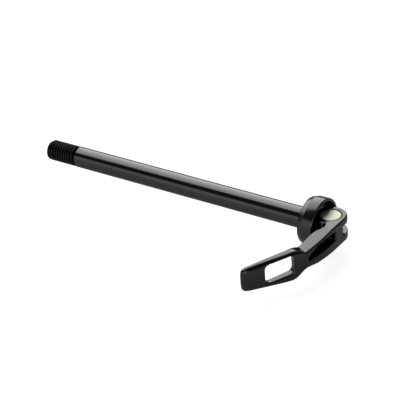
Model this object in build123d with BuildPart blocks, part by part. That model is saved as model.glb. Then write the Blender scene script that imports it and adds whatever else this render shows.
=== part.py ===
from build123d import *
from math import cos, radians, sin, tan
import os

os.makedirs("parts", exist_ok=True)

# A 12 mm through axle for a rear wheel, closed by a cam lever. Millimetres.
# +X runs along the axle toward the lever, +Z along the lever's pivot.
# The origin is on the axle's axis, on the flange's seat face.

# Shaft and thread
shaft_d = 12.0
under_head_len = 174.0
thread_d = 11.8
thread_len = 20.0
tip_chamfer_len = 0.8
tip_chamfer_depth = 0.4
neck_d = 10.2
neck_len = 1.2
bore_d = 6.6
tip_pocket_depth = 6.0
tip_shoulder_len = 8.0
shoulder_hole_d = 4.6

# Pilot land and keyed spigot at the head end
pilot_d = 11.5
pilot_gap = 0.1
shoulder_x = 0.6
spigot_d = 9.6
spigot_flats = 8.0
spigot_end_gap = 0.2

# Flange cup
seat_d = 25.9
ring_d = 28.0
cone_len = 3.4
ring_len = 9.5
cup_wall = 1.6
cup_floor = 3.0
counterbore_depth = 1.6
rim_chamfer = 0.5
seat_edge = 0.3
mouth_chamfer = 0.2

# Saddle washer and bumper ring
saddle_t = 1.0
saddle_d = 21.0
bumper_section = 0.9

# Draw rod
rod_shank_d = 4.2
rod_thread_d = 5.0
rod_thread_len = 24.0
rod_head_d = 7.5
rod_head_len = 4.2
socket_af = 2.5
socket_depth = 2.4
rod_end_cover = 0.9

# Pivot barrel
barrel_d = 11.5
barrel_recess = 0.15
barrel_chamfer = 0.45

# Lever eye and cam
cam_r = 9.05
cam_throw = 0.4
eye_h = 13.4
slot_h = 5.5
slot_side_gap = 0.4

# Lever arm, from the pivot to the waist
arm_straight = 12.0
arm_reach = 36.0
arm_lean = 10.3
arm_inner_x = 13.2
arm_inner_start = 21.0
arm_inner_end = 33.0
arm_inner_lean = 1.7
root_x = 16.3
root_y = 11.0
root_lean = 23.5
root_fillet = 1.0

# Side profile, measured across the lever along its slanted waist
side_slant = 26.0
taper_start = 3.0
taper_blend = 20.0
waist_gap = 0.2
waist_h = 9.2
waist_blend = 1.0
ramp_run = 6.6
ramp_blend = 4.0

# Handle
handle_turn = 33.2
bend_len = 14.2
handle_len = 23.1
handle_tip_t = 4.6
handle_root_t = 6.8
handle_rear_len = 25.6
handle_root_h = 16.8
handle_tip_h = 13.0
tip_bulge = 0.8
tip_side_r = 1.5
tip_corner = 3.0
lever_edge = 0.8

# Pocket in the arm's outer side
pocket_start = 9.8
pocket_end_gap = 2.0
pocket_top = 4.1
pocket_low = 1.5
pocket_fall_run = 7.0
pocket_tip_top = 0.4
pocket_depth = 4.0
pocket_corner = 1.1

# Window in the handle
window_start = 12.4
window_len = 16.7
window_top = 5.75
window_low = 5.3
window_rise = 1.7
window_corner = 2.6

# Clearances
pilot_clear = 0.08
key_clear = 0.05
barrel_clear = 0.05
rod_clear = 0.4
rod_fit = 0.02
head_clear = 0.1
cam_gap = 0.25

# Derived positions
shaft_r = shaft_d / 2
thread_r = thread_d / 2
ring_r = ring_d / 2
seat_r = seat_d / 2
cup_r = ring_r - cup_wall
saddle_face = cup_floor + saddle_t
cam_closed_r = cam_r + cam_throw
cam_open_r = cam_r - cam_throw
pivot_x = saddle_face + cam_gap + cam_closed_r
eye_half = eye_h / 2
barrel_r = barrel_d / 2
barrel_half = eye_half - barrel_recess
rod_r = rod_thread_d / 2
neck_x = thread_len - under_head_len
pilot_hole_r = pilot_d / 2 + pilot_clear
mouth_r = shaft_r + pilot_clear
head_seat_x = tip_pocket_depth - under_head_len
spigot_end = cup_floor - spigot_end_gap
rod_end_x = pivot_x + barrel_r - rod_end_cover


# Axle tube: turned outside, bored through, with a shoulder for the draw rod's head
with BuildPart() as axle_tube:
    with BuildSketch(Plane.XY):
        with BuildLine():
            Polyline(
                (-under_head_len, 0),
                (-under_head_len, thread_r - tip_chamfer_depth),
                (-under_head_len + tip_chamfer_len, thread_r),
                (neck_x - neck_len, thread_r),
                (neck_x - neck_len, neck_d / 2),
                (neck_x, neck_d / 2),
                (neck_x, shaft_r),
                (-pilot_gap, shaft_r),
                (-pilot_gap, pilot_d / 2),
                (shoulder_x, pilot_d / 2),
                (shoulder_x, 0),
                close=True,
            )
        make_face()
    revolve(axis=Axis.X)
    with BuildSketch(Plane.YZ.offset(shoulder_x)):
        Circle(spigot_d / 2)
        Rectangle(spigot_d, spigot_flats, mode=Mode.INTERSECT)
    extrude(amount=spigot_end - shoulder_x)
    with BuildSketch(Plane.XY):
        with BuildLine():
            Polyline(
                (-under_head_len, 0),
                (-under_head_len, rod_head_d / 2 + head_clear),
                (head_seat_x, rod_head_d / 2 + head_clear),
                (head_seat_x, shoulder_hole_d / 2),
                (head_seat_x + tip_shoulder_len, shoulder_hole_d / 2),
                (head_seat_x + tip_shoulder_len, bore_d / 2),
                (spigot_end, bore_d / 2),
                (spigot_end, 0),
                close=True,
            )
        make_face()
    revolve(axis=Axis.X, mode=Mode.SUBTRACT)
axle_tube.part.label = "axle_tube"
export_step(axle_tube.part, "parts/axle_tube.step")


# Flange cup: cone band, plain band and the round cup that the lever's eye turns in
with BuildPart() as flange_cup:
    with BuildSketch(Plane.XY):
        with BuildLine():
            Polyline(
                (mouth_r - pilot_hole_r, pilot_hole_r),
                (0, mouth_r),
                (0, seat_r - seat_edge),
                (seat_edge, seat_r),
                (cone_len, ring_r),
                (ring_len - rim_chamfer, ring_r),
                (ring_len, ring_r - rim_chamfer),
                (ring_len, cup_r + mouth_chamfer),
                (ring_len - mouth_chamfer, cup_r),
                (cup_floor, cup_r),
                (cup_floor, 0),
                (counterbore_depth, 0),
                (counterbore_depth, pilot_hole_r),
                close=True,
            )
        make_face()
    revolve(axis=Axis.X)
    with BuildSketch(Plane.YZ):
        Circle(spigot_d / 2 + key_clear)
        Rectangle(spigot_d * 2, spigot_flats + 2 * key_clear, mode=Mode.INTERSECT)
    extrude(amount=cup_floor, mode=Mode.SUBTRACT)
flange_cup.part.label = "flange_cup"
export_step(flange_cup.part, "parts/flange_cup.step")


# Saddle washer: the flat hard face under the cam
with BuildPart() as saddle_washer:
    with BuildSketch(Plane.YZ.offset(cup_floor)):
        Circle(saddle_d / 2)
        Circle(rod_r + rod_clear, mode=Mode.SUBTRACT)
    extrude(amount=saddle_t)
    rim = edges().filter_by(GeomType.CIRCLE).group_by(Axis.X)[-1].sort_by(SortBy.RADIUS)[-1]
    chamfer(rim, length=saddle_t / 4)
saddle_washer.part.label = "saddle_washer"
export_step(saddle_washer.part, "parts/saddle_washer.step")


# Bumper ring: a square rubber ring round the spigot, on the tube's shoulder
with BuildPart() as bumper_ring:
    with BuildSketch(Plane.YZ.offset(shoulder_x)):
        Circle(spigot_d / 2 + bumper_section)
        Circle(spigot_d / 2, mode=Mode.SUBTRACT)
    extrude(amount=bumper_section)
bumper_ring.part.label = "bumper_ring"
export_step(bumper_ring.part, "parts/bumper_ring.step")


# Draw rod: socket head in the tip, slim shank, threaded end in the barrel
with BuildPart() as draw_rod:
    with BuildSketch(Plane.XY):
        with BuildLine():
            Polyline(
                (head_seat_x - rod_head_len, 0),
                (head_seat_x - rod_head_len, rod_head_d / 2 - head_clear * 3),
                (head_seat_x - rod_head_len + head_clear * 3, rod_head_d / 2),
                (head_seat_x, rod_head_d / 2),
                (head_seat_x, rod_shank_d / 2),
                (rod_end_x - rod_thread_len, rod_shank_d / 2),
                (rod_end_x - rod_thread_len + rod_r - rod_shank_d / 2, rod_r),
                (rod_end_x - rod_clear, rod_r),
                (rod_end_x, rod_r - rod_clear),
                (rod_end_x, 0),
                close=True,
            )
        make_face()
    revolve(axis=Axis.X)
    with BuildSketch(Plane.YZ.offset(head_seat_x - rod_head_len)):
        RegularPolygon(radius=socket_af / 2, side_count=6, major_radius=False)
    extrude(amount=socket_depth, mode=Mode.SUBTRACT)
draw_rod.part.label = "draw_rod"
export_step(draw_rod.part, "parts/draw_rod.step")


# Pivot barrel: a cross dowel with a threaded cross hole for the rod
with BuildPart() as pivot_barrel:
    with BuildSketch(Plane.XY.offset(-barrel_half)):
        with Locations((pivot_x, 0)):
            Circle(barrel_r)
    extrude(amount=2 * barrel_half)
    chamfer(edges().filter_by(GeomType.CIRCLE), length=barrel_chamfer)
    with BuildSketch(Plane.YZ.offset(pivot_x - barrel_r)):
        Circle(rod_r + rod_fit)
    extrude(amount=rod_end_x - pivot_x + barrel_r, mode=Mode.SUBTRACT)
pivot_barrel.part.label = "pivot_barrel"
export_step(pivot_barrel.part, "parts/pivot_barrel.step")


# Lever: an eccentric eye and the arm's plan outline, cut to the side profile, then forked,
# pocketed and windowed
outer_x = pivot_x + cam_open_r
arm_drop = (arm_reach - arm_straight) * tan(radians(arm_lean) / 2)
bend_turn = handle_turn - arm_lean
handle_dir = Vector(-sin(radians(handle_turn)), -cos(radians(handle_turn)))
handle_out = Vector(cos(radians(handle_turn)), -sin(radians(handle_turn)))
inner_dir = Vector(-sin(radians(arm_inner_lean)), -cos(radians(arm_inner_lean)))
inner_start = Vector(arm_inner_x, -arm_inner_start)
inner_end = inner_start + inner_dir * (arm_inner_end - arm_inner_start)
root_dir = Vector(sin(radians(root_lean)), cos(radians(root_lean)))
side_dir = Vector(-sin(radians(side_slant)), -cos(radians(side_slant)))
slot_wall_y = rod_r + slot_side_gap

with BuildPart() as lever:
    with BuildSketch(Plane.XY.offset(-handle_root_h)):
        with Locations((pivot_x - cam_throw, 0)):
            Circle(cam_r)
        with BuildLine():
            side = Line((outer_x, 0), (outer_x, -arm_straight))
            lean = TangentArc(side @ 1, (outer_x - arm_drop, -arm_reach), tangent=side % 1)
            bend = JernArc(lean @ 1, lean % 1, bend_len / radians(bend_turn), -bend_turn)
            front = Line(bend @ 1, bend @ 1 + handle_dir * handle_len)
            tip_front = front @ 1
            tip_rear = tip_front - handle_out * handle_tip_t
            tip_mid = (tip_front + tip_rear) / 2 + handle_dir * tip_bulge
            ThreePointArc(tip_front, tip_mid, tip_rear)
            rear_root = tip_front - handle_dir * handle_rear_len - handle_out * handle_root_t
            rear = Line(tip_rear, rear_root)
            curve = Spline(rear @ 1, inner_end, tangents=[rear % 1, -inner_dir])
            inner = Line(curve @ 1, inner_start)
            root = Spline(inner @ 1, (root_x, -root_y), tangents=[inner % 1, root_dir])
            in_eye = root @ 1 + root_dir * cam_r / 2
            Polyline(root @ 1, in_eye, (pivot_x, 0), side @ 0)
        make_face()
        fillet(vertices().sort_by_distance(in_eye)[0], radius=root_fillet)
        fillet(vertices().sort_by_distance(tip_mid)[:2], radius=tip_side_r)
    extrude(amount=2 * handle_root_h)

    # Side profile: level eye, tapered arm, waist, then the taller handle
    waist_s = (lean @ 1).dot(side_dir) + waist_gap
    handle_root_s = waist_s + ramp_run
    handle_end_s = tip_mid.dot(side_dir) + waist_gap
    with BuildSketch(Plane((0, 0, 0), x_dir=side_dir, z_dir=(cos(radians(side_slant)), -sin(radians(side_slant)), 0))):
        with BuildLine():
            upper = Polyline(
                (-ring_d, eye_half),
                (taper_start, eye_half),
                (waist_s, waist_h / 2),
                (handle_root_s, handle_root_h / 2),
                (handle_end_s, handle_tip_h / 2),
            )
            mirror(upper, about=Plane.XZ)
            Line(upper @ 0, (-ring_d, -eye_half))
            Line(upper @ 1, (handle_end_s, -handle_tip_h / 2))
        make_face()
        for s, blend in (
            (taper_start, taper_blend),
            (waist_s, waist_blend),
            (handle_root_s, ramp_blend),
            (handle_end_s, tip_corner),
        ):
            fillet(vertices().filter_by_position(Axis.X, s - 0.01, s + 0.01), radius=blend)
    extrude(amount=ring_d * 2, both=True, mode=Mode.INTERSECT)

    # Broken edges all along the outline, top and bottom
    walls = lever.faces().filter_by(lambda f: abs(f.normal_at().Z) < 0.01)
    rims = [e for wall in walls for e in wall.edges() if (e @ 1 - e @ 0).X ** 2 + (e @ 1 - e @ 0).Y ** 2 > lever_edge / 1000]
    chamfer(rims, length=lever_edge)

    # Pivot hole, and the slot that lets the fork swing round the rod
    with BuildSketch(Plane.XY.offset(-eye_half)):
        with Locations((pivot_x, 0)):
            Circle(barrel_r + barrel_clear)
    extrude(amount=eye_h, mode=Mode.SUBTRACT)
    with BuildSketch(Plane.XZ.offset(slot_wall_y)):
        with Locations((pivot_x, 0)):
            Rectangle(4 * cam_closed_r, slot_h)
    extrude(amount=-2 * cam_closed_r, mode=Mode.SUBTRACT)

    # Blind pocket, parallel to the arm's outer side
    chord = radians(arm_lean / 2)
    pocket_len = arm_reach - pocket_start - pocket_end_gap
    pocket_plane = Plane(
        origin=(outer_x - pocket_depth, -pocket_start, 0),
        x_dir=(-sin(chord), -cos(chord), 0),
        z_dir=(cos(chord), -sin(chord), 0),
    )
    with BuildSketch(pocket_plane):
        with BuildLine():
            Polyline(
                (0, pocket_low),
                (0, -pocket_top),
                (pocket_len - pocket_fall_run, -pocket_top),
                (pocket_len, -pocket_tip_top),
                (pocket_len, pocket_low),
                close=True,
            )
        make_face()
        fillet(vertices(), radius=pocket_corner)
    extrude(amount=2 * pocket_depth, mode=Mode.SUBTRACT)

    # Window through the handle
    window_plane = Plane(origin=tip_front, x_dir=-handle_dir, z_dir=handle_out)
    with BuildSketch(window_plane):
        with BuildLine():
            Polyline(
                (window_start, -window_low),
                (window_start, window_top),
                (window_start + window_len, window_top + window_rise),
                (window_start + window_len, window_rise - window_low),
                close=True,
            )
        make_face()
        fillet(vertices(), radius=window_corner)
    extrude(amount=2 * handle_root_t, both=True, mode=Mode.SUBTRACT)
lever.part.label = "lever"
export_step(lever.part, "parts/lever.step")
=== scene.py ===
import bpy
import math
from mathutils import Matrix, Vector
from mathutils.geometry import interpolate_bezier


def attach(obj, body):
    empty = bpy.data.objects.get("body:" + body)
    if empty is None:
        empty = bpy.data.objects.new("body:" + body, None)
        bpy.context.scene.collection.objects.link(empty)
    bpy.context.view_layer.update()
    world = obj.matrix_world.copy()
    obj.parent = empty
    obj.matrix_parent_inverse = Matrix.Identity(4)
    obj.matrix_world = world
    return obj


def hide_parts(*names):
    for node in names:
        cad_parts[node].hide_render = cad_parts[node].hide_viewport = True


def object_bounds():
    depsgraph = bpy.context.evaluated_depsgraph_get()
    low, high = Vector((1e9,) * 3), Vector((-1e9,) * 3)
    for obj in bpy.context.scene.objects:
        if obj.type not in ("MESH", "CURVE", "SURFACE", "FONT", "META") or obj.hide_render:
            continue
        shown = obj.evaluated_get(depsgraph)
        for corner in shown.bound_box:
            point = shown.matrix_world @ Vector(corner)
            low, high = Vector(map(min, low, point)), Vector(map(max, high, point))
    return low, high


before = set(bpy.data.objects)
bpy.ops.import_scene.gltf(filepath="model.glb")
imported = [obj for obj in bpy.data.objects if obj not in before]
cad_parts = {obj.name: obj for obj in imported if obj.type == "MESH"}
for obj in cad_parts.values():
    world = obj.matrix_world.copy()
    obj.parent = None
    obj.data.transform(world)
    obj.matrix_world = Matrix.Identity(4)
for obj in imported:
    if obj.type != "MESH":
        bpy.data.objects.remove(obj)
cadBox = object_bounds()
scene = bpy.context.scene
mm = 0.001
weld = 1e-7  # points nearer than this, in metres, are one
slack = 0.01  # mm, for picking points by their place
print("frame loaded:", ", ".join(sorted(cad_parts)))


# shader maths as plain expressions
class Wire:
    def __init__(self, owner, socket):
        self.owner = owner
        self.socket = socket

    def maths(self, operation, first, second):
        return self.owner.node("ShaderNodeMath", {"operation": operation}, {0: first, 1: second})

    def __add__(self, other):
        return self.maths("ADD", self, other)

    def __radd__(self, other):
        return self.maths("ADD", other, self)

    def __sub__(self, other):
        return self.maths("SUBTRACT", self, other)

    def __rsub__(self, other):
        return self.maths("SUBTRACT", other, self)

    def __mul__(self, other):
        return self.maths("MULTIPLY", self, other)


class Shading:
    def __init__(self, tree):
        self.tree = tree
        tree.nodes.clear()

    def node(self, kind, settings=None, inputs=None, out=0):
        made = self.tree.nodes.new(kind)
        for key, value in (settings or {}).items():
            setattr(made, key, value)
        for key, value in (inputs or {}).items():
            if isinstance(value, Wire):
                self.tree.links.new(value.socket, made.inputs[key])
            else:
                made.inputs[key].default_value = value
        return Wire(self, made.outputs[out]) if len(made.outputs) else None

    def axes(self, vector):
        split = self.tree.nodes.new("ShaderNodeSeparateXYZ")
        self.tree.links.new(vector.socket, split.inputs[0])
        return [Wire(self, split.outputs[axis]) for axis in "XYZ"]

    def ray(self, kind):
        return self.node("ShaderNodeLightPath", out=kind)

    def noise(self, place, scale, detail):
        return self.node("ShaderNodeTexNoise", {}, {"Vector": place, "Scale": scale, "Detail": detail})

    def blend(self, share, low, high):
        return self.node("ShaderNodeMix", {"data_type": "RGBA"}, {0: share, 6: low, 7: high}, out=2)

    def smooth(self, value, low, high):
        return self.node("ShaderNodeMapRange", {"interpolation_type": "SMOOTHSTEP"},
                         {"Value": value, "From Min": low, "From Max": high, "To Min": 0.0, "To Max": 1.0})

    def bump(self, height, look):
        return self.node("ShaderNodeBump", {}, {
            "Height": height, "Strength": look["grainLift"], "Distance": look["grainDepth"] * mm})

    def show(self, inputs):
        shell = self.node("ShaderNodeBsdfPrincipled", {}, inputs)
        self.node("ShaderNodeOutputMaterial", {}, {"Surface": shell})


def newFinish(name):
    finish = bpy.data.materials.new(name)
    finish.use_nodes = True
    return finish, Shading(finish.node_tree)


def grey(level):
    return (level, level, level, 1.0)


# finishes
anodised = {
    "cloudScale": 140.0, "cloudDetail": 3.0, "cloudRough": 0.05,
    "grainScale": 3000.0, "grainDetail": 2.0, "grainRough": 0.08, "grainLift": 0.08, "grainDepth": 0.02,
}


def anodisedFinish(name, look):
    finish, nodes = newFinish(name)
    place = nodes.node("ShaderNodeTexCoord", out="Object")
    cloud = nodes.noise(place, look["cloudScale"], look["cloudDetail"])
    grain = nodes.noise(place, look["grainScale"], look["grainDetail"])
    tint = nodes.blend(cloud, look["deep"], look["pale"])
    rough = look["roughness"] + (cloud - 0.5) * look["cloudRough"] + (grain - 0.5) * look["grainRough"]
    if "threadEnd" in look:  # a duller thread, with painted shade darker down in its grooves
        x, y, z = nodes.axes(place)
        end, fade = look["threadEnd"], look["threadFade"]
        thread = 1 - nodes.smooth(x, (end - fade) * mm, (end + fade) * mm)
        # crest is 1 on the crests and 0 down in the grooves, where shade is painted into the colour
        crest = nodes.smooth(y * y + z * z, (look["grooveFloor"] * mm) ** 2, (look["grooveTop"] * mm) ** 2)
        tint = nodes.blend(thread, tint, nodes.blend(crest, look["grooveShadeTone"], look["crestTone"]))
        rough = rough + thread * (look["threadRough"] - rough)
    nodes.show({"Base Color": tint, "Metallic": 1.0, "Roughness": rough, "Normal": nodes.bump(grain, look)})
    return finish


shaftBlack = anodisedFinish("shaftBlack", {
    **anodised, "deep": grey(0.08), "pale": grey(0.096), "roughness": 0.11,
    "grainScale": 3800.0, "grainRough": 0.06, "grainLift": 0.05,
    "threadEnd": -154.0, "threadFade": 0.1, "threadRough": 0.3, "crestTone": grey(0.048),
    # the groove tone is painted shade for the thread's grooves
    "grooveFloor": 5.2, "grooveTop": 5.9, "grooveShadeTone": grey(0.006)})
leverBlack = anodisedFinish("leverBlack", {
    **anodised, "deep": grey(0.056), "pale": grey(0.066), "roughness": 0.14})
cupBlack = anodisedFinish("cupBlack", {
    **anodised, "deep": grey(0.07), "pale": grey(0.085), "roughness": 0.2})

turned = {
    "cloudScale": 260.0, "cloudDetail": 3.0, "cloudRough": 0.04,
    "centre": (0, 0, 0), "ringDetail": 2.0, "ringWobble": 0.6,
}


def turnedFinish(name, look):
    finish, nodes = newFinish(name)
    place = nodes.node("ShaderNodeTexCoord", out="Object")
    centred = nodes.node("ShaderNodeMapping", {}, {"Vector": place, "Location": look["centre"]})
    rings = nodes.node("ShaderNodeTexWave", {"wave_type": "RINGS", "rings_direction": look["axis"]}, {
        "Vector": centred, "Scale": look["ringScale"],
        "Distortion": look["ringWobble"], "Detail": look["ringDetail"]})
    cloud = nodes.noise(place, look["cloudScale"], look["cloudDetail"])
    tint = nodes.blend(cloud, look["deep"], look["pale"])
    rough = look["roughness"] + rings * look["ringRough"] + (cloud - 0.5) * look["cloudRough"]
    nodes.show({"Base Color": tint, "Metallic": 1.0, "Roughness": rough})
    return finish


paleBrass = turnedFinish("paleBrass", {
    **turned, "deep": (0.555, 0.545, 0.435, 1.0), "pale": (0.625, 0.625, 0.52, 1.0), "roughness": 0.6,
    "axis": "Z", "centre": (-13.7 * mm, 0, 0), "ringScale": 900.0, "ringRough": 0.015})
rodSteel = turnedFinish("rodSteel", {
    **turned, "deep": grey(0.36), "pale": grey(0.46), "roughness": 0.28,
    "axis": "X", "ringScale": 900.0, "ringRough": 0.1})
washerSteel = turnedFinish("washerSteel", {
    **turned, "deep": grey(0.32), "pale": grey(0.38), "roughness": 0.26,
    "axis": "X", "ringScale": 700.0, "ringRough": 0.12})


def rubberFinish(name, look):
    finish, nodes = newFinish(name)
    place = nodes.node("ShaderNodeTexCoord", out="Object")
    grain = nodes.noise(place, look["grainScale"], look["grainDetail"])
    tint = nodes.blend(grain, look["deep"], look["pale"])
    rough = look["roughness"] + (grain - 0.5) * look["grainRough"]
    nodes.show({"Base Color": tint, "Roughness": rough, "Normal": nodes.bump(grain, look)})
    return finish


bumperRubber = rubberFinish("bumperRubber", {
    "deep": grey(0.012), "pale": grey(0.03), "roughness": 0.75,
    "grainScale": 2500.0, "grainDetail": 3.0, "grainRough": 0.2, "grainLift": 0.3, "grainDepth": 0.03})
print("finishes made")


# modelling helpers
def only(piece):
    bpy.ops.object.select_all(action="DESELECT")
    piece.select_set(True)
    bpy.context.view_layer.objects.active = piece


def applyAll(piece):
    only(piece)
    for name in [modifier.name for modifier in piece.modifiers]:
        bpy.ops.object.modifier_apply(modifier=name)


def outward(piece):
    only(piece)
    bpy.ops.object.mode_set(mode="EDIT")
    bpy.ops.mesh.select_all(action="SELECT")
    bpy.ops.mesh.remove_doubles(threshold=weld)
    bpy.ops.mesh.normals_make_consistent(inside=False)
    bpy.ops.object.mode_set(mode="OBJECT")


def drawProfile(name, points):
    bpy.ops.object.select_all(action="DESELECT")
    bpy.ops.mesh.primitive_plane_add(size=mm)
    piece = bpy.context.active_object
    piece.name = name
    bpy.ops.object.mode_set(mode="EDIT")
    bpy.ops.mesh.select_all(action="SELECT")
    bpy.ops.mesh.merge(type="CENTER")  # one point to pull the outline from
    bpy.ops.transform.translate(value=(points[0][0] * mm, points[0][1] * mm, 0))
    for (fromX, fromY), (toX, toY) in zip(points, points[1:]):
        bpy.ops.mesh.extrude_region_move(
            TRANSFORM_OT_translate={"value": ((toX - fromX) * mm, (toY - fromY) * mm, 0)})
    bpy.ops.mesh.select_all(action="DESELECT")
    bpy.ops.object.mode_set(mode="OBJECT")
    for index in (0, len(points) - 1):
        piece.data.vertices[index].select = True
    bpy.ops.object.mode_set(mode="EDIT")
    bpy.ops.mesh.edge_face_add()  # the last side
    bpy.ops.object.mode_set(mode="OBJECT")
    return piece


def drawLoops(name, loops):
    bpy.ops.object.select_all(action="DESELECT")
    bpy.ops.mesh.primitive_circle_add(vertices=len(loops[0]), radius=mm, fill_type="NGON")
    piece = bpy.context.active_object
    piece.name = name
    bpy.ops.object.mode_set(mode="EDIT")
    bpy.ops.mesh.select_all(action="SELECT")
    for _ in loops[1:]:
        bpy.ops.mesh.extrude_region_move(TRANSFORM_OT_translate={"value": (0, 0, mm)})
    bpy.ops.object.mode_set(mode="OBJECT")
    places = [Vector(point) * mm for loop in loops for point in loop]
    for vert, place in zip(piece.data.vertices, places):
        vert.co = place
    outward(piece)
    return piece


def circle(steps):
    return [(math.cos(a), math.sin(a)) for a in (2 * math.pi * k / steps for k in range(steps))]


def quarter(steps):
    return [math.pi / 2 * k / steps for k in range(steps + 1)]


def clamp(value):
    return min(1, max(0, value))


# corners of an outline rounded to their radius; grow widens each arc about its own centre
def eased(corners, grow=0.0, steps=8):
    points = []
    for index, (x, y, radius) in enumerate(corners):
        here = Vector((x, y))
        if not radius:
            points.append(here)
            continue
        before = (Vector(corners[index - 1][:2]) - here).normalized()
        after = (Vector(corners[(index + 1) % len(corners)][:2]) - here).normalized()
        half = before.angle(after) / 2
        centre = here + (before + after).normalized() * radius / math.sin(half)
        arm = (here + before * radius / math.tan(half) - centre) * (radius + grow) / radius
        sweep = math.copysign(math.pi - 2 * half, after.cross(before))
        points += [centre + Matrix.Rotation(sweep * step / steps, 2) @ arm for step in range(steps + 1)]
    return points


def sweepRound(piece, axis, steps, turns=1, pitch=0):
    sweep = piece.modifiers.new("sweep", "SCREW")
    sweep.axis = axis
    sweep.angle = 2 * math.pi
    sweep.screw_offset = pitch * mm
    sweep.iterations = turns
    sweep.steps = steps
    sweep.render_steps = steps
    sweep.use_merge_vertices = pitch == 0
    sweep.merge_threshold = weld
    sweep.use_smooth_shade = True
    applyAll(piece)


def keyFlats(piece, start, radius, half):
    for vert in piece.data.vertices:
        if vert.co.x > (start - slack) * mm and math.hypot(vert.co.y, vert.co.z) < (radius + slack) * mm:
            vert.co.z = max(-half * mm, min(half * mm, vert.co.z))


def joinSolids(piece, tool, operation):
    step = piece.modifiers.new("solid", "BOOLEAN")
    step.operation = operation
    step.object = tool
    step.solver = "MANIFOLD"
    applyAll(piece)
    bpy.data.objects.remove(tool)


def breakEdges(piece, width, angle):
    ease = piece.modifiers.new("edges", "BEVEL")
    ease.limit_method = "ANGLE"
    ease.angle_limit = math.radians(angle)
    ease.width = width * mm
    ease.segments = 3
    ease.use_clamp_overlap = False
    applyAll(piece)


def evenSkin(piece, grid):
    skin = piece.modifiers.new("skin", "REMESH")
    skin.mode = "VOXEL"
    skin.voxel_size = grid * mm
    skin.use_smooth_shade = True
    applyAll(piece)


def easeEdges(piece, passes, weigh):
    ease = piece.vertex_groups.new(name="ease")
    for vert in piece.data.vertices:
        ease.add([vert.index], weigh(vert.co / mm), "REPLACE")
    soft = piece.modifiers.new("soft", "SMOOTH")
    soft.factor = 0.5
    soft.iterations = passes
    soft.vertex_group = ease.name
    applyAll(piece)
    piece.vertex_groups.clear()


def softEdges(piece, angle):
    only(piece)
    bpy.ops.object.shade_smooth_by_angle(angle=math.radians(angle))


def settle(piece, finish, body, node):
    piece.data.materials.clear()
    piece.data.materials.append(finish)
    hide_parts(node)
    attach(piece, body)
    print("piece:", piece.name, len(piece.data.polygons), "faces")


# axle: turned shaft with a rolled thread at the tip
axle = {
    "tip": -174.0, "threadEnd": -155.2, "neck": 5.1, "shankStart": -154.0, "shankEnd": -0.1,
    "shank": 6.0, "shankEase": 0.12, "pilot": 5.75, "shoulder": 0.6,
    "spigot": 4.8, "spigotEnd": 2.8, "flatHalf": 4.0,
    "bore": 3.3, "seatHole": 2.3, "pocket": 3.85, "headSeat": -168.0, "seatEnd": -160.0,
    "crest": 5.9, "root": 5.05, "pitch": 1.75, "flank": 30, "bite": 0.1,
    "crestHalf": 0.11, "crestEase": 0.07, "crestInset": 0.04,
    "leadTurns": 1.5, "spareTurns": 3, "tipCrest": 5.5, "tipRun": 0.8,
    "roundSteps": 128, "threadSteps": 96, "smoothAngle": 32,
}


def makeThread(size):
    slope = math.tan(math.radians(size["flank"]))
    base = size["root"] - size["bite"]
    foot = size["crestHalf"] + (size["crest"] - base) * slope
    start = size["tip"] - size["leadTurns"] * size["pitch"]
    top, half, ease, inset = size["crest"], size["crestHalf"], size["crestEase"], size["crestInset"]
    ridge = drawProfile("threadRidge", [
        (start - foot, base), (start - half - ease * slope, top - ease), (start - half + inset, top),
        (start + half - inset, top), (start + half + ease * slope, top - ease), (start + foot, base)])
    turns = math.ceil((size["threadEnd"] - size["tip"]) / size["pitch"]) + size["spareTurns"]
    sweepRound(ridge, "X", size["threadSteps"], turns, size["pitch"])
    only(ridge)
    bpy.ops.object.mode_set(mode="EDIT")
    for place, facing in ((size["tip"], -1), (size["threadEnd"], 1)):  # square ends
        bpy.ops.mesh.select_all(action="SELECT")
        bpy.ops.mesh.bisect(plane_co=(place * mm, 0, 0), plane_no=(facing, 0, 0),
                            use_fill=True, clear_outer=True, threshold=weld)
    bpy.ops.object.mode_set(mode="OBJECT")
    for vert in ridge.data.vertices:  # lead chamfer over the first crest
        reach = math.hypot(vert.co.y, vert.co.z)
        depth = vert.co.x / mm - size["tip"]
        limit = (size["tipCrest"] + (top - size["tipCrest"]) * min(1, depth / size["tipRun"])) * mm
        if reach > limit:
            vert.co.y *= limit / reach
            vert.co.z *= limit / reach
    outward(ridge)
    return ridge


def makeAxle(size):
    shaft = drawProfile("axleShaft", [
        (size["tip"], size["pocket"]), (size["tip"], size["root"]), (size["threadEnd"], size["root"]),
        (size["threadEnd"], size["neck"]), (size["shankStart"], size["neck"]),
        (size["shankStart"], size["shank"] - size["shankEase"]),
        (size["shankStart"] + size["shankEase"], size["shank"]),
        (size["shankEnd"], size["shank"]), (size["shankEnd"], size["pilot"]),
        (size["shoulder"], size["pilot"]), (size["shoulder"], size["spigot"]),
        (size["spigotEnd"], size["spigot"]), (size["spigotEnd"], size["bore"]),
        (size["seatEnd"], size["bore"]), (size["seatEnd"], size["seatHole"]),
        (size["headSeat"], size["seatHole"]), (size["headSeat"], size["pocket"])])
    sweepRound(shaft, "X", size["roundSteps"])
    keyFlats(shaft, size["shoulder"], size["spigot"], size["flatHalf"])
    outward(shaft)
    ridge = makeThread(size)
    only(shaft)
    ridge.select_set(True)
    bpy.ops.object.join()
    softEdges(shaft, size["smoothAngle"])
    return shaft


settle(makeAxle(axle), shaftBlack, "axle", "axle_tube")

# cup: turned ring with a cone band, hollow on the lever's side
cup = {
    "mouth": 6.08, "hole": 5.83, "seat": 12.95, "seatInset": 0.02, "ring": 14.0, "coneEnd": 3.4, "length": 9.5,
    "inside": 12.4, "floor": 3.0, "counterbore": 1.6, "key": 4.85, "keyFlat": 4.05,
    "seatEase": 0.35, "coneEase": 0.5, "rimEase": 0.55, "mouthEase": 0.25,
    "easeSteps": 5, "roundSteps": 160, "smoothAngle": 35,
}


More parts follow.
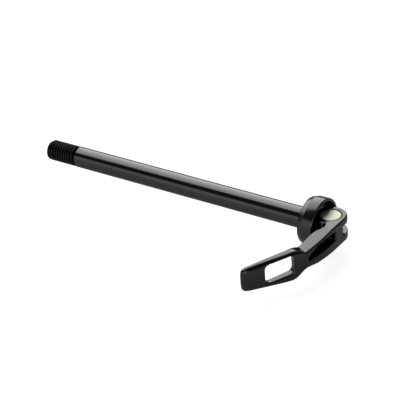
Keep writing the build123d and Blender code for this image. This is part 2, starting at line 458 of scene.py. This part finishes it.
def makeCup(size):
    outline = eased([
        (size["mouth"] - size["hole"], size["hole"], 0), (0, size["mouth"], 0),
        (0, size["seat"] - size["seatInset"], size["seatEase"]),
        (size["coneEnd"], size["ring"], size["coneEase"]),
        (size["length"], size["ring"], size["rimEase"]), (size["length"], size["inside"], size["mouthEase"]),
        (size["floor"], size["inside"], size["mouthEase"]), (size["floor"], size["key"], 0),
        (size["counterbore"], size["key"], 0), (size["counterbore"], size["hole"], 0)], steps=size["easeSteps"])
    ring = drawProfile("headCup", outline)
    sweepRound(ring, "X", size["roundSteps"])
    keyFlats(ring, size["counterbore"], size["key"], size["keyFlat"])
    outward(ring)
    softEdges(ring, size["smoothAngle"])
    return ring


settle(makeCup(cup), cupBlack, "flange", "flange_cup")

# barrel: turned cross dowel with a faintly crowned, polished end
barrel = {
    "centre": 13.7, "radius": 5.75, "half": 6.55, "crown": 0.06, "edge": 0.55, "middle": 0.02,
    "crossHole": 2.52, "crossEnd": 18.55, "crossStart": 6.0,
    "crownSteps": 12, "edgeSteps": 6, "roundSteps": 128, "holeSteps": 48, "smoothAngle": 30,
}


def makeBarrel(size):
    radius, half, steps = size["radius"], size["half"], size["crownSteps"]
    rise = [(radius * k / steps, half - size["crown"] * (k / steps) ** 2) for k in range(1, steps)]
    rim = half - size["crown"]
    corner = eased([(0, rim, 0), (radius, rim, size["edge"]), (radius, 0, 0)], steps=size["edgeSteps"])[1:-1]
    top = [(size["middle"], half)] + rise + [(x, z) for x, z in corner]
    dowel = drawProfile("pivotDowel", top + [(x, -z) for x, z in reversed(top)])
    dowel.data.transform(Matrix.Rotation(math.pi / 2, 4, "X"))  # the outline stands up before it is spun
    sweepRound(dowel, "Z", size["roundSteps"])
    dowel.data.transform(Matrix.Translation((size["centre"] * mm, 0, 0)))
    outward(dowel)
    bore = [(y * size["crossHole"], z * size["crossHole"]) for y, z in circle(size["holeSteps"])]
    cross = drawLoops("crossHole", [
        [(x, y, z) for y, z in bore] for x in (size["crossStart"], size["crossEnd"])])
    joinSolids(dowel, cross, "DIFFERENCE")
    softEdges(dowel, size["smoothAngle"])
    return dowel


settle(makeBarrel(barrel), paleBrass, "axle", "pivot_barrel")

# lever: forged arm and handle in one, drawn in plan and from the side as in the solid
lever = {
    # plan
    "pivot": 13.7, "camThrow": 0.4, "camRadius": 9.05, "outer": 22.35,
    "straight": 12.0, "reach": 36.0, "armLean": 10.3, "bendLength": 14.2, "handleTurn": 33.2,
    "handleLength": 23.7, "rearLength": 26.2, "rootThick": 6.8,
    "tipThick": 4.6, "tipBack": 1.2, "tipRound": 2.67,
    "innerX": 13.2, "innerStart": 21.0, "innerEnd": 33.0, "innerLean": 1.7,
    "root": (14.9, -14.2), "rootLean": 23.5, "rootFillet": 2.6, "tall": 16.8,
    "leanSteps": 16, "bendSteps": 24, "bowSteps": 20, "neckSteps": 16, "filletSteps": 10, "roundSteps": 128,
    # side
    "slant": 26.0, "sideStart": -28.0, "sideReach": 60.0, "taperStart": 3.0, "waistGap": 0.2, "rampRun": 6.6,
    "eyeHalf": 6.7, "waistHalf": 4.6, "rootHalf": 8.2, "tipHalf": 6.5,
    "underEye": 7.1, "underWaist": 6.0, "underRoot": 9.7, "underTip": 7.8,
    "taperRound": 20.0, "waistRound": 1.0, "rampRound": 4.0, "tipSideRound": 3.0, "tipBulge": 0.8,
    # rounding
    "edgeBreak": 0.6, "edgeAngle": 35, "roughGrid": 0.28, "fineGrid": 0.26,
    "roundPasses": 520, "armShare": 0.03, "upperShare": 0.7, "finePasses": 30, "fineShare": 0.25,
    "crownHeight": 6, "roundLead": 10, "upperDelay": 12, "roundRun": 14, "upperShorter": 7,
    "tipZone": 16, "tipBlend": 8,
    # cuts
    "clear": 20, "overshoot": 3.0,
    "holeRadius": 5.8, "holeEase": 0.45, "slotHalf": 2.75, "slotWall": -2.9, "forkReach": 19,
    "pocketStart": 9.8, "pocketEndGap": 2.0, "pocketTop": 4.1, "pocketLow": -1.5, "pocketFall": 7.0,
    "pocketTipTop": 0.4, "pocketDepth": 4.0, "pocketCorner": 1.1, "pocketLip": 0.5, "lipSteps": 4,
    "windowStart": 13.0, "windowLength": 16.7, "windowTop": 4.9, "windowLow": -5.8, "windowRise": 1.7,
    "windowCorner": 2.6, "windowFront": 1.0, "windowRear": 2.8, "rearFall": 0.08, "windowSteps": 6,
}


def way(degrees):  # heading in plan, from straight down the arm round toward the shaft
    return Vector((-math.sin(math.radians(degrees)), -math.cos(math.radians(degrees))))


def leftOf(heading):
    return Vector((-heading.y, heading.x))


def arcFrom(start, radius, first, last, steps):
    turns = [math.radians(first + (last - first) * step / steps) for step in range(1, steps + 1)]
    base = Vector((math.cos(math.radians(first)), -math.sin(math.radians(first))))
    return [start + (Vector((math.cos(a), -math.sin(a))) - base) * radius for a in turns]


def bow(start, end, startWay, endWay, steps, pull=None):
    pull = pull or (end - start).length / 3
    knots = (start, start + startWay * pull, end - endWay * pull, end)
    return [point.to_2d() for point in interpolate_bezier(*[knot.to_3d() for knot in knots], steps + 1)]


# fillet from the arm's inner side into the round eye
def eyeFillet(size, root, rootWay, eye):
    fillet, steps = size["rootFillet"], size["filletSteps"]
    offset = root + leftOf(rootWay) * fillet - eye
    ahead = offset.dot(rootWay)
    run = -ahead - math.sqrt(ahead ** 2 - offset.length_squared + (size["camRadius"] + fillet) ** 2)
    centre = eye + offset + rootWay * run
    first = Vector((rootWay.y, -rootWay.x)) * fillet
    last = (eye - centre).normalized() * fillet
    sweep = first.angle(last)
    return [centre + Matrix.Rotation(sweep * step / steps, 2) @ first for step in range(steps + 1)]


def cutEye(blank, size):
    pivot, half, clear = size["pivot"], size["eyeHalf"], size["clear"]
    hole, mouth = size["holeRadius"], size["holeRadius"] + size["holeEase"]
    sink = half - size["holeEase"]
    around = [Vector(spoke) for spoke in circle(size["roundSteps"])]
    rings = ((-clear, mouth), (-half, mouth), (-sink, hole), (sink, hole), (half, mouth), (clear, mouth))
    joinSolids(blank, drawLoops("pivotHole", [
        [(pivot + spoke.x * radius, spoke.y * radius, z) for spoke in around]
        for z, radius in rings]), "DIFFERENCE")
    reach, slot = size["forkReach"], size["slotHalf"]
    fork = [(pivot - reach, -slot), (pivot + reach, -slot), (pivot + reach, slot), (pivot - reach, slot)]
    joinSolids(blank, drawLoops("forkSlot", [
        [(x, y, z) for x, z in fork] for y in (size["slotWall"], clear)]), "DIFFERENCE")


# blind pocket in the arm's outer side, with a rounded lip
def cutPocket(blank, size, shoulder, leanRadius):
    chord = way(size["armLean"] / 2)
    openWay = leftOf(chord)
    pocketFoot = Vector((size["outer"] - size["pocketDepth"], -size["pocketStart"]))
    length = size["reach"] - size["pocketStart"] - size["pocketEndGap"]
    shape = [(u, z, size["pocketCorner"]) for u, z in (
        (0, size["pocketLow"]), (length, size["pocketLow"]), (length, size["pocketTipTop"]),
        (length - size["pocketFall"], size["pocketTop"]), (0, size["pocketTop"]))]
    lip = size["pocketLip"]
    rims = [(0.0, None)]
    rims += [(lip - lip * math.cos(a), lip * math.sin(a) - lip) for a in quarter(size["lipSteps"])]
    rims += [(lip, size["overshoot"])]
    loops = []
    for grow, lift in rims:
        loop = []
        for u, z in eased(shape, grow):
            foot = pocketFoot + chord * u
            spoke = foot - shoulder + Vector((leanRadius, 0))
            ahead = spoke.dot(openWay)
            skin = math.sqrt(ahead ** 2 - spoke.length_squared + leanRadius ** 2) - ahead
            loop.append((*(foot + openWay * (0 if lift is None else skin + lift)), z))
        loops.append(loop)
    joinSolids(blank, drawLoops("armPocket", loops), "DIFFERENCE")


# window through the handle, its edges rounded toward both faces
def cutWindow(blank, size, tipFront, along, out, bendRadius):
    start, end = size["windowStart"], size["windowStart"] + size["windowLength"]
    low, top, rise = size["windowLow"], size["windowTop"], size["windowRise"]
    shape = [(u, z, size["windowCorner"]) for u, z in (
        (start, low), (end, low + rise), (end, top + rise), (start, top))]
    turns = quarter(size["windowSteps"])
    front, rear = size["windowFront"], size["windowRear"]
    stages = [("front", front, -size["overshoot"])]
    stages += [("front", front - front * math.sin(a), front - front * math.cos(a)) for a in turns]
    stages += [("rear", rear - rear * math.sin(a), rear - rear * math.cos(a)) for a in reversed(turns)]
    stages += [("rear", rear, -size["overshoot"])]
    loops = []
    for face, grow, depth in stages:
        loop = []
        for inner, outer in zip(eased(shape), eased(shape, grow)):
            share = 1 if face == "front" else 1 - size["rearFall"] * inner.y  # fuller at the bottom
            u, z = inner + (outer - inner) * share
            past = max(0, u - size["handleLength"])
            skin = -past * past / (2 * bendRadius)
            thick = size["tipThick"] + (size["rootThick"] - size["tipThick"]) * u / size["rearLength"]
            height = skin - depth if face == "front" else depth - thick
            loop.append((*(tipFront - along * u + out * height), z))
        loops.append(loop)
    joinSolids(blank, drawLoops("handleWindow", loops), "DIFFERENCE")


def makeLever(size):
    along = way(size["handleTurn"])
    out = leftOf(along)
    shoulder = Vector((size["outer"], -size["straight"]))
    leanRadius = (size["reach"] - size["straight"]) / math.sin(math.radians(size["armLean"]))
    bendRadius = size["bendLength"] / math.radians(size["handleTurn"] - size["armLean"])
    lean = arcFrom(shoulder, leanRadius, 0, size["armLean"], size["leanSteps"])
    bend = arcFrom(lean[-1], bendRadius, size["armLean"], size["handleTurn"], size["bendSteps"])
    tipFront = bend[-1] + along * size["handleLength"]
    tipRear = tipFront - out * size["tipThick"]
    tip = bow(tipFront - along * size["tipBack"], tipRear - along * size["tipBack"], along, -along,
              size["bowSteps"], size["tipRound"])
    rearRoot = tipFront - along * size["rearLength"] - out * size["rootThick"]
    innerWay = way(size["innerLean"])
    innerTop = Vector((size["innerX"], -size["innerStart"]))
    innerFoot = innerTop + innerWay * (size["innerEnd"] - size["innerStart"])
    rearWay = (rearRoot - tipRear).normalized()
    curve = bow(rearRoot, innerFoot, rearWay, -innerWay, size["bowSteps"])
    root, rootWay = Vector(size["root"]), -way(size["rootLean"])
    neck = bow(innerTop, root, -innerWay, rootWay, size["neckSteps"])
    eyeX = size["pivot"] - size["camThrow"]
    eye = Vector((eyeX, 0))
    hollow = eyeFillet(size, root, rootWay, eye)
    plan = [Vector((size["outer"], 0)), shoulder] + lean + bend + tip + curve + neck + hollow + [eye]
    levels = (-size["tall"], size["tall"])
    blank = drawLoops("camLever", [[(point.x, point.y, z) for point in plan] for z in levels])
    rim = [(eyeX + size["camRadius"] * x, size["camRadius"] * y) for x, y in circle(size["roundSteps"])]
    joinSolids(blank, drawLoops("eyeDisc", [[(x, y, z) for x, y in rim] for z in levels]), "UNION")

    # the side outline, drawn across the lever along its slanted waist
    across = way(size["slant"])
    beside = leftOf(across)
    waist = lean[-1].dot(across) + size["waistGap"]
    tipMid = (tipFront + tipRear) / 2 + along * size["tipBulge"]
    tipEnd = tipMid.dot(across) + size["waistGap"]

    def halfSide(eyeHalf, waistHalf, rootHalf, tipHalf):
        return [(size["sideStart"], eyeHalf, 0), (size["taperStart"], eyeHalf, size["taperRound"]),
                (waist, waistHalf, size["waistRound"]), (waist + size["rampRun"], rootHalf, size["rampRound"]),
                (tipEnd, tipHalf, size["tipSideRound"])]

    upper = halfSide(size["eyeHalf"], size["waistHalf"], size["rootHalf"], size["tipHalf"])
    lower = halfSide(size["underEye"], size["underWaist"], size["underRoot"], size["underTip"])
    sideLine = eased(upper + [(s, -z, radius) for s, z, radius in reversed(lower)])
    joinSolids(blank, drawLoops("sideOutline", [
        [(*(across * s + beside * reach), z) for s, z in sideLine]
        for reach in (-size["sideReach"], size["sideReach"])]), "INTERSECT")

    # forged edges: nearly crisp on the arm, full on the handle, fullest underneath and at the tip
    def weigh(spot):
        reach = spot.to_2d().dot(across)
        above = clamp(spot.z / size["crownHeight"] + 0.5)
        run = clamp((reach - waist + size["roundLead"] - size["upperDelay"] * above)
                    / (size["roundRun"] - size["upperShorter"] * above))
        nearTip = clamp((reach - tipEnd + size["tipZone"]) / size["tipBlend"])
        full = 1 - (1 - size["upperShare"]) * above * (1 - nearTip)
        return size["armShare"] + (full - size["armShare"]) * run * run * (3 - 2 * run)

    breakEdges(blank, size["edgeBreak"], size["edgeAngle"])
    evenSkin(blank, size["roughGrid"])
    easeEdges(blank, size["roundPasses"], weigh)
    cutEye(blank, size)
    cutPocket(blank, size, shoulder, leanRadius)
    cutWindow(blank, size, tipFront, along, out, bendRadius)
    evenSkin(blank, size["fineGrid"])
    easeEdges(blank, size["finePasses"], lambda spot: max(size["fineShare"], weigh(spot)))
    return blank


settle(makeLever(lever), leverBlack, "lever", "lever")

# the hidden small parts keep the solids' form, with evened shading
hidden = {"weld": 2e-6, "flatAngle": 0.6, "smoothAngle": 30, "faceWeight": 90}


def refined(node, name, size):
    piece = bpy.data.objects.new(name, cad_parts[node].data.copy())
    scene.collection.objects.link(piece)
    only(piece)
    bpy.ops.object.mode_set(mode="EDIT")
    bpy.ops.mesh.select_all(action="SELECT")
    bpy.ops.mesh.remove_doubles(threshold=size["weld"])
    bpy.ops.mesh.dissolve_limited(angle_limit=math.radians(size["flatAngle"]))
    bpy.ops.object.mode_set(mode="OBJECT")
    softEdges(piece, size["smoothAngle"])
    even = piece.modifiers.new("even", "WEIGHTED_NORMAL")
    even.mode = "FACE_AREA"
    even.weight = size["faceWeight"]
    even.keep_sharp = True
    applyAll(piece)
    return piece


for node, name, finish, body in (
        ("draw_rod", "drawRod", rodSteel, "axle"),
        ("saddle_washer", "saddleWasher", washerSteel, "flange"),
        ("bumper_ring", "rubberBumper", bumperRubber, "axle")):
    settle(refined(node, name, hidden), finish, body, node)

# studio: matt floor, a big soft light behind on the left, a dim wall in front and a fill near the camera
studio = {
    "floorSize": 6.0, "floorPaint": 0.37, "floorGlow": 0.88, "floorMirror": 0.17,
    "back": (-0.559, 0.829), "domeBase": 1.56, "domeRise": 2.63, "domeTilt": 0.25,
    "domeLow": (0.38, 0.66), "domeEdge": (0.06, 0.11), "domeSide": (0.05, 0.32),
    "wall": (-0.35, -0.94), "wallEdge": (0.6, 0.9), "wallTop": (0.36, 0.485),
    "wallLevel": 0.56, "wallSlope": 0.27,
    "dark": 0.056, "fill": (0.62, -0.74, 0.26), "fillEdge": (0.85, 0.99), "fillGlow": 1.25,
}


def makeFloor(size):
    bpy.ops.object.select_all(action="DESELECT")
    bpy.ops.mesh.primitive_plane_add(size=size["floorSize"], location=(0, 0, cadBox[0][2]))
    floor = bpy.context.active_object
    floor.name = "floor"
    bpy.ops.object.transform_apply(location=True, rotation=False, scale=False)
    finish, nodes = newFinish("floorWhite")
    # lifted to white where it is seen, and in part where metal mirrors it, as in the picture
    seen = nodes.ray("Is Camera Ray") + nodes.ray("Is Transmission Ray")
    seen = seen + nodes.ray("Is Glossy Ray") * size["floorMirror"]
    paint = nodes.node("ShaderNodeBsdfDiffuse", {}, {"Color": grey(size["floorPaint"])})
    glow = nodes.node("ShaderNodeEmission", {}, {"Color": grey(1.0), "Strength": seen * size["floorGlow"]})
    both = nodes.node("ShaderNodeAddShader", {}, {0: paint, 1: glow})
    nodes.node("ShaderNodeOutputMaterial", {}, {"Surface": both})
    floor.data.materials.append(finish)


def makeWorld(size):
    sky = bpy.data.worlds.new("studioRoom")
    sky.use_nodes = True
    scene.world = sky
    nodes = Shading(sky.node_tree)
    x, y, z = nodes.axes(nodes.node("ShaderNodeTexCoord", out="Generated"))
    toBack = x * size["back"][0] + y * size["back"][1]
    dome = nodes.smooth(toBack, *size["domeEdge"])
    dome = dome * nodes.smooth(z + toBack * size["domeTilt"], *size["domeLow"])
    dome = dome * nodes.smooth(0 - x, *size["domeSide"])
    wall = nodes.smooth(x * size["wall"][0] + y * size["wall"][1], *size["wallEdge"])
    wall = wall * (1 - nodes.smooth(z, *size["wallTop"]))
    fillX, fillY, fillZ = size["fill"]
    fill = nodes.smooth(x * fillX + y * fillY + z * fillZ, *size["fillEdge"])
    room = wall * (size["wallLevel"] + z * size["wallSlope"]) + size["dark"] + fill * size["fillGlow"]
    level = dome * (size["domeBase"] + toBack * size["domeRise"]) + (1 - dome) * room
    seen = nodes.ray("Is Camera Ray")
    shown = seen + (1 - seen) * level  # plain white behind the object
    light = nodes.node("ShaderNodeBackground", {}, {"Color": grey(1.0), "Strength": shown})
    nodes.node("ShaderNodeOutputWorld", {}, {"Surface": light})


makeFloor(studio)
makeWorld(studio)
scene.view_settings.view_transform = "Standard"
print("studio lit")

# camera at the picture's viewpoint
view = {
    "place": (0.46162, -0.72947, 0.51222), "focal": 168.63, "sensor": 36.0, "clip": (0.02, 20.0),
    "right": (0.82827518, 0.55611946, -0.06849357),
    "up": (-0.22909559, 0.44766804, 0.8643544),
    "toward": (0.51134668, -0.70023173, 0.49819685),
}
lens = bpy.data.cameras.new("viewLens")
lens.sensor_width = view["sensor"]
lens.sensor_fit = "HORIZONTAL"
lens.lens = view["focal"]
lens.clip_start, lens.clip_end = view["clip"]
viewEye = bpy.data.objects.new("viewEye", lens)
scene.collection.objects.link(viewEye)
turn = Matrix((view["right"], view["up"], view["toward"])).transposed().to_4x4()
viewEye.matrix_world = Matrix.Translation(Vector(view["place"])) @ turn
scene.camera = viewEye
print("camera set")
